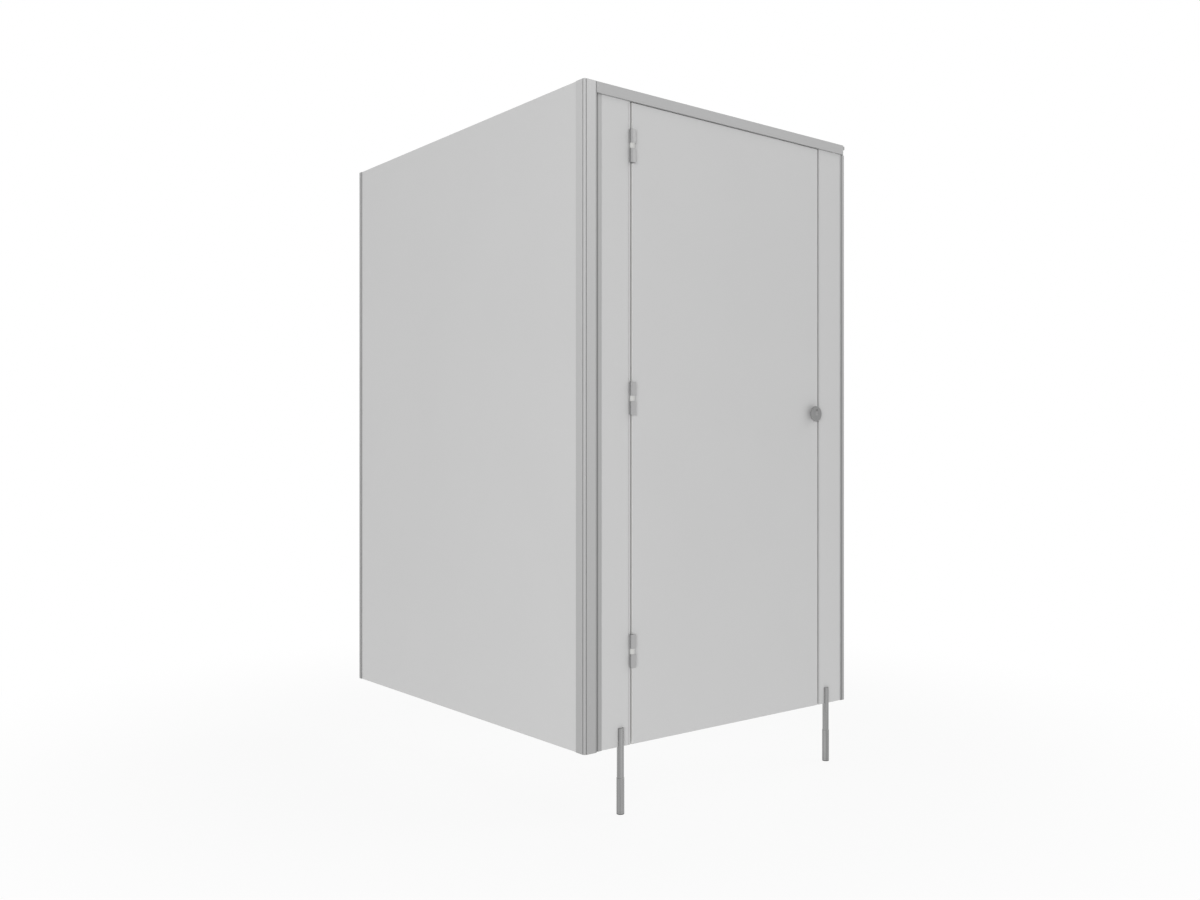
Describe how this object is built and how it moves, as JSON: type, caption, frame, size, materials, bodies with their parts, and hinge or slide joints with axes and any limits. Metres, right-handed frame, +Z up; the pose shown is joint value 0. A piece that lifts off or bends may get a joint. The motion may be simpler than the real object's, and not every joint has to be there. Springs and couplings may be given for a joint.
{
  "type": "toilet cubicle",
  "caption": "Corner toilet cubicle of grey laminate panels in aluminium profiles, with an outward-opening door, turn lock, mushroom knob and adjustable legs under the front.",
  "frame": {"origin": "floor level under the centre of the overall bounding box", "axes": "+X along the front from the corner post to the right-hand wall, +Y from the front to the back wall, +Z up"},
  "size_m": [1.0832, 1.33, 2],
  "materials": {
    "laminate": "satin",
    "anodised_aluminium": "satin",
    "connector_aluminium": "mill",
    "seal_rubber": "matte",
    "rubber": "matte",
    "nylon": "satin",
    "plug_plastic": "matte",
    "indicator_grey": "satin",
    "indicator_red": "gloss",
    "screw_steel": "satin",
    "leg_steel": "brushed",
    "hinge_steel": "satin",
    "lock_steel": "satin",
    "knob_nylon": "satin"
  },
  "bodies": {
    "frame": {"side_panel": "laminate", "left_pilaster": "laminate", "right_pilaster": "laminate", "corner_post": "anodised_aluminium", "post_top_plug": "plug_plastic", "post_bottom_plug": "plug_plastic", "back_wall_channel": "anodised_aluminium", "left_pilaster_channel": "anodised_aluminium", "right_wall_channel": "anodised_aluminium", "top_rail": "anodised_aluminium", "rail_cover_strip": "anodised_aluminium", "rail_post_connector": "connector_aluminium", "rail_wall_connector": "connector_aluminium", "hinge_side_stop": "anodised_aluminium", "lock_side_stop": "anodised_aluminium", "hinge_side_seal": "seal_rubber", "lock_side_seal": "seal_rubber", "post_side_screws": "screw_steel", "post_channel_screws": "screw_steel", "back_channel_screws": "screw_steel", "pilaster_channel_screws": "screw_steel", "stop_screws": "screw_steel", "rail_screws": "screw_steel", "hinge_1_frame_leaf": "hinge_steel", "hinge_2_frame_leaf": "hinge_steel", "hinge_3_frame_leaf": "hinge_steel", "hinge_1_sleeve": "nylon", "hinge_2_sleeve": "nylon", "hinge_3_sleeve": "nylon", "hinge_1_pin": "hinge_steel", "hinge_2_pin": "hinge_steel", "hinge_3_pin": "hinge_steel", "hinge_frame_screws": "screw_steel", "latch_keep": "hinge_steel", "keep_screws": "screw_steel", "left_leg": "leg_steel", "right_leg": "leg_steel", "leg_screws": "screw_steel"},
    "door": {"door_panel": "laminate", "hinge_1_door_leaf": "hinge_steel", "hinge_2_door_leaf": "hinge_steel", "hinge_3_door_leaf": "hinge_steel", "hinge_door_screws": "screw_steel", "knob_neck": "knob_nylon", "knob_head": "knob_nylon", "knob_cap": "knob_nylon", "lock_rose": "lock_steel", "lock_screws": "screw_steel"},
    "lock_turn": {"indicator_disc": "indicator_grey", "indicator_flag": "indicator_red", "lock_spindle": "lock_steel", "latch_bar": "lock_steel", "inside_turn": "lock_steel", "spindle_screw": "screw_steel"},
    "left_foot": {"left_foot_spindle": "leg_steel", "left_foot_sleeve": "leg_steel", "left_foot_sole": "rubber"},
    "right_foot": {"right_foot_spindle": "leg_steel", "right_foot_sleeve": "leg_steel", "right_foot_sole": "rubber"}
  },
  "joints": [
    {"name": "door_swing", "type": "hinge", "parent": "frame", "child": "door", "pos_m": [-0.37305, -0.6509, 1.145], "axis": [0, 0, -1], "range_deg": [0, 110]},
    {"name": "lock_rotation", "type": "hinge", "parent": "door", "child": "lock_turn", "pos_m": [0.38685, -0.6385, 1.119], "axis": [0, 1, 0], "range_deg": [0, 90]},
    {"name": "left_foot_adjust", "type": "slide", "parent": "frame", "child": "left_foot", "axis": [0, 0, -1], "range_m": [-0.015, 0.015]},
    {"name": "right_foot_adjust", "type": "slide", "parent": "frame", "child": "right_foot", "axis": [0, 0, -1], "range_m": [-0.015, 0.015]}
  ]
}
